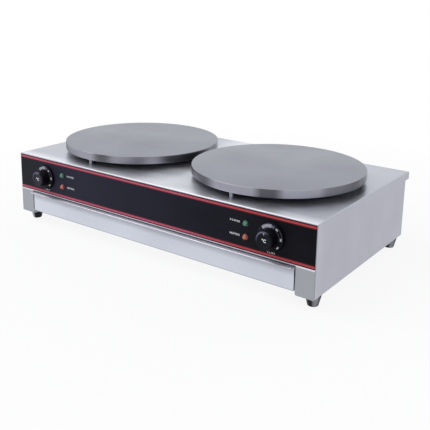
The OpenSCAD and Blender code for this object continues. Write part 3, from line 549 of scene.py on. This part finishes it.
def rectangle(x0, x1, y0, y1):
    return [(x0, y0), (x1, y0), (x1, y1), (x0, y1)]


def front_place(centre):
    """Matrix that stands local +Z outwards from the front, at a point of it."""
    turn = Matrix(((1, 0, 0, 0), (0, 0, -1, 0), (0, 1, 0, 0), (0, 0, 0, 1)))
    return Matrix.Translation(centre) @ turn


def turned(name, outline, place, segments=160):
    """A body of revolution about local Z from a closed (radius, height) outline."""
    shape = bmesh.new()
    rings = []
    for k in range(segments):
        angle = 2 * math.pi * k / segments
        spoke = Vector((math.cos(angle), math.sin(angle)))
        rings.append([shape.verts.new((spoke.x * p[0], spoke.y * p[0], p[1])) for p in outline])
    for k in range(segments):
        first, second = rings[k - 1], rings[k]
        for j in range(len(outline)):
            shape.faces.new((first[j - 1], second[j - 1], second[j], first[j]))
    bmesh.ops.remove_doubles(shape, verts=shape.verts, dist=1e-6)
    bmesh.ops.dissolve_degenerate(shape, edges=shape.edges, dist=1e-7)
    bmesh.ops.recalc_face_normals(shape, faces=shape.faces)
    shape.transform(place)
    mesh = bpy.data.meshes.new(name)
    shape.to_mesh(mesh)
    shape.free()
    mesh.shade_smooth()
    mesh.set_sharp_from_angle(angle=SHARP_ANGLE)
    return mesh


def plate(name, outlines, thickness, place, warp=None):
    """A thin print: closed (x, y) outlines raised by a thickness, bent by warp if given."""
    shape = bmesh.new()
    for outline in outlines:
        low = [shape.verts.new((*p, 0.0)) for p in outline]
        high = [shape.verts.new((*p, thickness)) for p in outline]
        shape.faces.new(high)
        shape.faces.new(list(reversed(low)))
        for j in range(len(outline)):
            shape.faces.new((low[j - 1], low[j], high[j], high[j - 1]))
    if warp:
        for vert in shape.verts:
            vert.co = warp(vert.co)
    bmesh.ops.recalc_face_normals(shape, faces=shape.faces)
    shape.transform(place)
    mesh = bpy.data.meshes.new(name)
    shape.to_mesh(mesh)
    shape.free()
    return mesh


def joined(name, meshes):
    """One mesh from several."""
    shape = bmesh.new()
    for mesh in meshes:
        shape.from_mesh(mesh)
        bpy.data.meshes.remove(mesh)
    whole = bpy.data.meshes.new(name)
    shape.to_mesh(whole)
    shape.free()
    return whole


# Height of a capital as a share of the font's size
CAPITAL = 0.72


def lettering(words, height, stroke, place, warp=None, spacing=1.0):
    """Raised lettering centred on the local origin: capitals of a height, thickened by a stroke."""
    curve = bpy.data.curves.new("lettering", "FONT")
    curve.body = words
    curve.align_x = "CENTER"
    curve.align_y = "CENTER"
    curve.size = height / CAPITAL
    curve.offset = stroke
    curve.space_character = spacing
    curve.extrude = INK / 2
    curve.resolution_u = 3
    source = bpy.data.objects.new("lettering", curve)
    bpy.context.scene.collection.objects.link(source)
    bpy.context.view_layer.update()
    evaluated = source.evaluated_get(bpy.context.evaluated_depsgraph_get())
    mesh = bpy.data.meshes.new_from_object(evaluated)
    bpy.data.objects.remove(source)
    bpy.data.curves.remove(curve)
    for vert in mesh.vertices:
        point = vert.co + Vector((0.0, 0.0, INK / 2))
        vert.co = place @ (warp(point) if warp else point)
    return mesh


# ---------------------------------------------------------------- places from the frame

GRIDDLE_X = middle("griddle_right").x
GRIDDLE_Y = middle("griddle_right").y
GRIDDLE_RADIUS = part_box("griddle_right")[1].x - GRIDDLE_X
CASE_LOW, CASE_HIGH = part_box("case_shell")
DRAWER_LOW, DRAWER_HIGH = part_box("drawer_front")
PANEL_LOW, PANEL_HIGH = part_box("control_overlay")
LENS_TIP_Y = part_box("power_lens_right")[0].y
LENS_FOOT_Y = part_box("power_lens_right")[1].y


# ---------------------------------------------------------------- griddles

# Width of the rim below, depth of the recess inside it, and the rounding of the edges
GRIDDLE_RIM = 20 * MM
GRIDDLE_RECESS = 9 * MM
GRIDDLE_EDGE = 1.2 * MM


def add_griddle(side, material):
    """Thick round plate: crisp turned edges, recessed below for its element."""
    low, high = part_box("griddle_" + side)
    radius = (high.x - low.x) / 2
    thick = high.z - low.z
    inner = radius - GRIDDLE_RIM
    outline = filleted([
        (0.0, GRIDDLE_RECESS, 0.0),
        (inner, GRIDDLE_RECESS, 0.0),
        (inner, 0.0, GRIDDLE_EDGE / 2),
        (radius, 0.0, GRIDDLE_EDGE),
        (radius, thick, GRIDDLE_EDGE),
        (0.0, thick, 0.0),
    ])
    place = Matrix.Translation((middle("griddle_" + side).x, GRIDDLE_Y, low.z))
    mesh = turned("griddle_plate_" + side, outline, place, segments=256)
    link_piece(mesh, material, "case", ["griddle_" + side])


# ---------------------------------------------------------------- controls

SKIRT_RADIUS = 30 * MM
SKIRT_TOP = 6.6 * MM
DIAL_RADIUS = 20.6 * MM
DIAL_HEIGHT = 9 * MM
GRIP_RADIUS = 19.6 * MM
GRIP_TIP = 18.6 * MM
KNOB_REACH = 30.9 * MM
SKIRT_GAP = 1.6 * MM
KNOB_WALL = 2 * MM
BUSH_RADIUS = 5.4 * MM
BUSH_WALL = 1.5 * MM

# Depths from the tip: of the sunk cap, the hollow round the bush, and the shaft's hole
CAP_DEPTH = 0.9 * MM
HOLLOW_DEPTH = 4 * MM
HOLE_DEPTH = 8 * MM

# Width of the rim round the cap, at its crest and at its foot
RIM_CREST = 4.5 * MM
RIM_FOOT = 5.5 * MM

# Cap colour of each knob: the left cap is painted lighter, as painted reflection
CAP_PAINTED_COLOURS = {"left": tone(54, 52, 62), "right": tone(24, 26, 32)}

# Degrees clockwise: the print's start from the top, and from there its blocks, arcs and numbers
DIAL_START = -45.0
BLOCK_PITCH = 7.6
BLOCK_WIDTH = 6.6
BLOCKS_BRIGHT = 7
BLOCKS_DIM = 2
ARC_STEP = 4
BRIGHT_SWEEP = (0, 52)
DIM_SWEEP = (82, 144)
DIAL_NUMBERS = (("100", 82), ("200", 132), ("300", 178))

# Inner and outer radii of the print: the blocks, and the arcs on either side of them
BLOCK_RADII = (22.5 * MM, 27.3 * MM)
BRIGHT_RADII = ((21.6 * MM, 22.2 * MM), (27.6 * MM, 28.2 * MM))
DIM_RADII = ((21.8 * MM, 22.3 * MM), (27.4 * MM, 27.9 * MM))
NUMBER_RADIUS = 24.8 * MM
NUMBER_HEIGHT = 2.9 * MM
POINTER_RADII = (12.5 * MM, 16.6 * MM)
POINTER_HALF = 0.5 * MM
CAP_MARK_HEIGHT = 6.5 * MM
CAP_MARK_STROKE = 0.4 * MM
PRINT_STROKE = 0.12 * MM


def knob_outline():
    """Hollow knob from its axis outwards: rounded skirt, sloped dial, tapered grip."""
    return filleted([
        (BUSH_RADIUS, KNOB_REACH - HOLE_DEPTH, 0.0),
        (BUSH_RADIUS, SKIRT_GAP + KNOB_WALL, 0.0),
        (BUSH_RADIUS + BUSH_WALL, SKIRT_GAP + KNOB_WALL, 0.0),
        (BUSH_RADIUS + BUSH_WALL, KNOB_REACH - HOLLOW_DEPTH, 0.0),
        (GRIP_TIP - KNOB_WALL, KNOB_REACH - HOLLOW_DEPTH, 0.0),
        (GRIP_RADIUS - KNOB_WALL, DIAL_HEIGHT - KNOB_WALL, 0.0),
        (SKIRT_RADIUS - KNOB_WALL, SKIRT_TOP - KNOB_WALL - MM, 0.0),
        (SKIRT_RADIUS - KNOB_WALL, SKIRT_GAP, 0.0),
        (SKIRT_RADIUS, SKIRT_GAP, 0.4 * MM),
        (SKIRT_RADIUS, SKIRT_TOP, 1.3 * MM),
        (DIAL_RADIUS, DIAL_HEIGHT, 0.8 * MM),
        (GRIP_TIP, KNOB_REACH, 2.2 * MM),
        (GRIP_TIP - RIM_CREST, KNOB_REACH, 0.8 * MM),
        (GRIP_TIP - RIM_FOOT, KNOB_REACH - CAP_DEPTH, 0.8 * MM),
        (0.0, KNOB_REACH - CAP_DEPTH, 0.0),
        (0.0, KNOB_REACH - HOLE_DEPTH, 0.0),
    ])


def dial_height(radius):
    """Height of the dial's slope at a distance from the knob's axis."""
    share = (radius - DIAL_RADIUS) / (SKIRT_RADIUS - DIAL_RADIUS)
    return DIAL_HEIGHT + (SKIRT_TOP - DIAL_HEIGHT) * share


def on_dial(clock_degrees, radius):
    """Bends a flat print round the dial: local +Y outwards, clockwise angle from the top."""

    def warp(point):
        distance = radius + point.y
        angle = math.radians(90.0 - clock_degrees) - point.x / radius
        lift = dial_height(distance) + INK * 0.2 + point.z
        return Vector((distance * math.cos(angle), distance * math.sin(angle), lift))

    return warp


def dial_arc(start, end, inner, outer):
    """Flat outline of an arc between two clock angles and two radii, and its warp."""
    radius = (inner + outer) / 2
    steps = max(2, int(abs(end - start) / ARC_STEP))
    half = math.radians(abs(end - start)) / 2 * radius
    across = [half * (2 * k / steps - 1) for k in range(steps + 1)]
    outline = [(x, inner - radius) for x in across]
    outline += [(x, outer - radius) for x in reversed(across)]
    return outline, on_dial((start + end) / 2, radius)


def arc_print(place, start, end, radii):
    """A raised arc between two angles from the dial's start and two radii."""
    outline, warp = dial_arc(DIAL_START + start, DIAL_START + end, *radii)
    return plate("arc", [outline], INK, place, warp)


def block_print(place, count):
    """One block of the dial's band, by its number from the dial's start."""
    start = BLOCK_PITCH * count
    return arc_print(place, start, start + BLOCK_WIDTH, BLOCK_RADII)


def add_dial_arcs(side, place, grey, dim):
    """The dial's band of blocks between two arcs: bright at first, dim further on."""
    bright = [arc_print(place, *BRIGHT_SWEEP, radii) for radii in BRIGHT_RADII]
    bright += [block_print(place, count) for count in range(BLOCKS_BRIGHT)]
    link_piece(joined("dial_band_" + side, bright), grey, side + "_control")
    faint = [arc_print(place, *DIM_SWEEP, radii) for radii in DIM_RADII]
    faint += [block_print(place, BLOCKS_BRIGHT + count) for count in range(BLOCKS_DIM)]
    link_piece(joined("dial_arcs_" + side, faint), dim, side + "_control")


def add_dial_marks(side, place, white):
    """The dial's numbers, the pointer on the grip's rim and the mark in its sunk cap."""
    marks = []
    for number, clock in DIAL_NUMBERS:
        warp = on_dial(DIAL_START + clock, NUMBER_RADIUS)
        marks.append(lettering(number, NUMBER_HEIGHT, PRINT_STROKE, place, warp))
    pointer = rectangle(-POINTER_HALF, POINTER_HALF, *POINTER_RADII)
    tip = place @ Matrix.Translation((0.0, 0.0, KNOB_REACH))
    marks.append(plate("pointer", [pointer], INK, tip))
    cap = place @ Matrix.Translation((0.0, 0.0, KNOB_REACH - CAP_DEPTH))
    marks.append(lettering("°C", CAP_MARK_HEIGHT, CAP_MARK_STROKE, cap))
    link_piece(joined("dial_print_" + side, marks), white, side + "_control")


def add_knob(side, black, white, grey, dim):
    """Knob with the prints of its dial, which turn with it."""
    centre = middle("knob_" + side)
    place = front_place((centre.x, PANEL_HIGH.y, centre.z))
    knob = turned("knob_grip_" + side, knob_outline(), place)
    link_piece(knob, black, side + "_control", ["knob_" + side])
    add_dial_arcs(side, place, grey, dim)
    add_dial_marks(side, place, white)


LENS_FLANGE = 1.6 * MM
LENS_BARREL_FOOT = 1.9 * MM


def add_lens(node, material):
    """Lamp lens: flange, ribbed barrel and shallow crown."""
    low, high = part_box(node)
    radius = (high.x - low.x) / 2
    reach = high.y - low.y
    outline = filleted([
        (0.0, 0.0, 0.0),
        (radius, 0.0, 0.0),
        (radius, LENS_FLANGE, 0.5 * MM),
        (0.86 * radius, LENS_BARREL_FOOT, 0.2 * MM),
        (0.84 * radius, 0.62 * reach, 1.2 * MM),
        (0.52 * radius, reach, 1.5 * MM),
        (0.0, reach, 0.0),
    ])
    centre = middle(node)
    mesh = turned("lamp_" + node, outline, front_place((centre.x, high.y, centre.z)), segments=48)
    link_piece(mesh, material, "case", [node])


# ---------------------------------------------------------------- panel print

# A dark red band: its ends from the panel's sides, its middle from the nearest edge, half its width
BAND_INSET = 0.4 * MM
BAND_BELOW_TOP = 4.5 * MM
BAND_ABOVE_BOTTOM = 4.8 * MM
BAND_HALF = 4 * MM

# The inner and outer edge of a red line, from its band's middle
LINE_INNER = 0.3 * MM
LINE_OUTER = 1.8 * MM

# A caption's height and its place: inboard of its lamp, or below its knob
CAPTION_HEIGHT = 4.2 * MM
CAPTION_ASIDE = 27 * MM
CAPTION_BELOW = 34 * MM


def add_panel_print(red, maroon, white):
    """Double red lines in dark red bands along the panel, and captions by the controls."""
    place = front_place((0.0, PANEL_LOW.y, 0.0))
    x0, x1 = PANEL_LOW.x + BAND_INSET, PANEL_HIGH.x - BAND_INSET
    centres = (PANEL_HIGH.z - BAND_BELOW_TOP, PANEL_LOW.z + BAND_ABOVE_BOTTOM)
    bands = [rectangle(x0, x1, z - BAND_HALF, z + BAND_HALF) for z in centres]
    mesh = plate("panel_stripe_borders", bands, INK, place)
    link_piece(mesh, maroon, "case")
    lines = []
    for z in centres:
        lines.append(rectangle(x0, x1, z - LINE_OUTER, z - LINE_INNER))
        lines.append(rectangle(x0, x1, z + LINE_INNER, z + LINE_OUTER))
    mesh = plate("panel_stripe_lines", lines, 2 * INK, place)
    link_piece(mesh, red, "case")
    words = []
    for side, inboard in (("left", 1), ("right", -1)):
        knob = middle("knob_" + side)
        power = middle("power_lens_" + side)
        heat = middle("heat_lens_" + side)
        aside = inboard * CAPTION_ASIDE
        for caption, spacing, x, z in (
            ("POWER", 1.35, power.x + aside, power.z),
            ("HEATING", 1.0, heat.x + aside, heat.z),
            ("TEMP", 1.5, knob.x, knob.z - CAPTION_BELOW),
        ):
            spot = place @ Matrix.Translation((x, z, 0.0))
            words.append(lettering(caption, CAPTION_HEIGHT, PRINT_STROKE, spot, spacing=spacing))
    mesh = joined("panel_captions", words)
    link_piece(mesh, white, "case")


# ---------------------------------------------------------------- feet

# Radii of the sole, of the screw head's bore and of the shank's bore, and the shank's length
SOLE_RADIUS = 11 * MM
HEAD_BORE = 6.4 * MM
SHANK_BORE = 3.4 * MM
SHANK_LENGTH = 10 * MM

# Direction that the painted highlight on a foot faces, and the painted highlight's colour
FOOT_PAINTED_SHEEN = {
    "left": ((-0.2, -0.98, 0.0), tone(224, 226, 229)),
    "right": ((0.72, -0.69, 0.0), tone(164, 166, 170)),
}


def add_foot(row, side):
    """Turned rubber foot, open below for its screw."""
    node = "foot_" + row + "_" + side
    low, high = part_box(node)
    top = (high.x - low.x) / 2
    height = high.z - low.z
    outline = filleted([
        (HEAD_BORE, 0.0, 0.6 * MM),
        (SOLE_RADIUS, 0.0, 2.4 * MM),
        (top, height - MM, 0.8 * MM),
        (top - MM, height, 0.3 * MM),
        (SHANK_BORE, height, 0.0),
        (SHANK_BORE, height - SHANK_LENGTH, 0.0),
        (HEAD_BORE, height - SHANK_LENGTH, 0.0),
    ])
    centre = middle(node)
    place = Matrix.Translation((centre.x, centre.y, low.z))
    mesh = turned(node + "_rubber", outline, place, segments=72)
    rubber = foot_rubber("rubber_" + row + "_" + side, centre, *FOOT_PAINTED_SHEEN[side])
    link_piece(mesh, rubber, "case", [node])


# ---------------------------------------------------------------- the scene


def dress_nodes():
    """Finishes for every CAD node that stays."""
    wrap = tone(196, 197, 205)
    dress(["case_shell"], brushed_steel("steel_wrap", wrap, 0.34, FOLDED, ACROSS_FOLDED, wrap_painted_light))
    front = tone(168, 170, 178)
    dress(["front_frame"], brushed_steel("steel_front", front, 0.36, painted_light=front_painted_highlight))
    dress(["rear_panel"], brushed_steel("steel_rear", tone(190, 191, 197), 0.36))
    pale = tone(214, 217, 228)
    drawer = brushed_steel("steel_drawer", pale, 0.44, painted_light=drawer_painted_shade)
    dress(["drawer_front", "drawer_pan"], drawer)
    inner = brushed_steel("steel_inner", tone(165, 168, 172), 0.45)
    dress(["electrics_tray", "drawer_rail_left", "drawer_rail_right"], inner)
    dress(["control_overlay"], panel_film())
    zinc = plated("zinc_plate", tone(190, 192, 194), 0.28)
    dress(
        ["heat_pan_bolts", "pillar_studs", "pillar_nuts", "thermostat_screws", "lamp_nuts",
         "rear_panel_screws", "rail_screws", "foot_washers", "foot_screws", "foot_nuts"],
        zinc,
    )
    dress(["shaft_left", "shaft_right"], plated("shaft_steel", tone(180, 180, 182), 0.25))
    dress(["pillars_left", "pillars_right"], plated("pillar_bright", tone(150, 152, 158), 0.4))
    brass = plated("brass", tone(205, 176, 104), 0.25)
    dress(["earth_terminal", "earth_nuts", "terminal_screws"], brass)
    dress(["sensor_left", "sensor_right"], plated("copper", tone(196, 122, 82), 0.3, spots=0.5))
    dress(["element_left", "element_right"], plated("oxidised", tone(92, 86, 84), 0.5, spots=0.6))
    mill = brushed_steel("steel_clamp", tone(150, 150, 150), 0.42)
    dress(["element_clamp_left", "element_clamp_right"], mill)
    grey = moulded("stove_grey", tone(112, 112, 118), 0.5, pitch=900.0, depth=0.03 * MM)
    dress(["heat_pan_left", "heat_pan_right"], grey)
    dress(["insulation_left", "insulation_right"], fibrous("ceramic_fibre", tone(222, 217, 205)))
    dress(["terminal_block"], fibrous("ceramic_block", tone(228, 224, 212)))
    dress(["wiring_left", "wiring_right"], fibrous("lead_sleeve", tone(205, 198, 180)))
    resin = moulded("thermostat_resin", tone(74, 58, 46), 0.5)
    dress(["thermostat_left", "thermostat_right"], resin)
    nylon = moulded("black_nylon", tone(38, 38, 42), 0.42)
    dress(["lamp_holders_left", "lamp_holders_right", "cable_gland", "gland_nut"], nylon)


def build():
    """Camera, studio, finishes of the CAD nodes, and the scene's own pieces."""
    add_camera()
    set_world(STUDIO_LEVEL)
    bpy.ops.mesh.primitive_plane_add(size=FLOOR_SIZE)
    ground = bpy.context.object
    ground.name = "ground"
    ground.data.materials.append(floor_material())
    for softbox in SOFTBOXES:
        add_softbox(*softbox)

    dress_nodes()
    iron = griddle_iron("griddle_iron")
    white = ink("ink_white", tone(225, 226, 230))
    grey = ink("ink_grey", tone(172, 172, 184))
    dim = ink("ink_dim", tone(104, 105, 114))
    green = lens_resin("lens_green", tone(6, 56, 40), tone(30, 132, 96))
    orange = lens_resin("lens_orange", tone(104, 34, 20), tone(196, 92, 62))
    for side in SIDES:
        add_griddle(side, iron)
        black = knob_plastic("knob_black_" + side, middle("knob_" + side), CAP_PAINTED_COLOURS[side])
        add_knob(side, black, white, grey, dim)
        add_lens("power_lens_" + side, green)
        add_lens("heat_lens_" + side, orange)
        for row in ("front", "rear"):
            add_foot(row, side)
    red = ink("ink_red", tone(214, 102, 124), tone(206, 74, 82))
    maroon = ink("ink_maroon", tone(104, 38, 52), tone(82, 26, 30))
    add_panel_print(red, maroon, white)


build()
bpy.context.scene.view_settings.view_transform = "Standard"
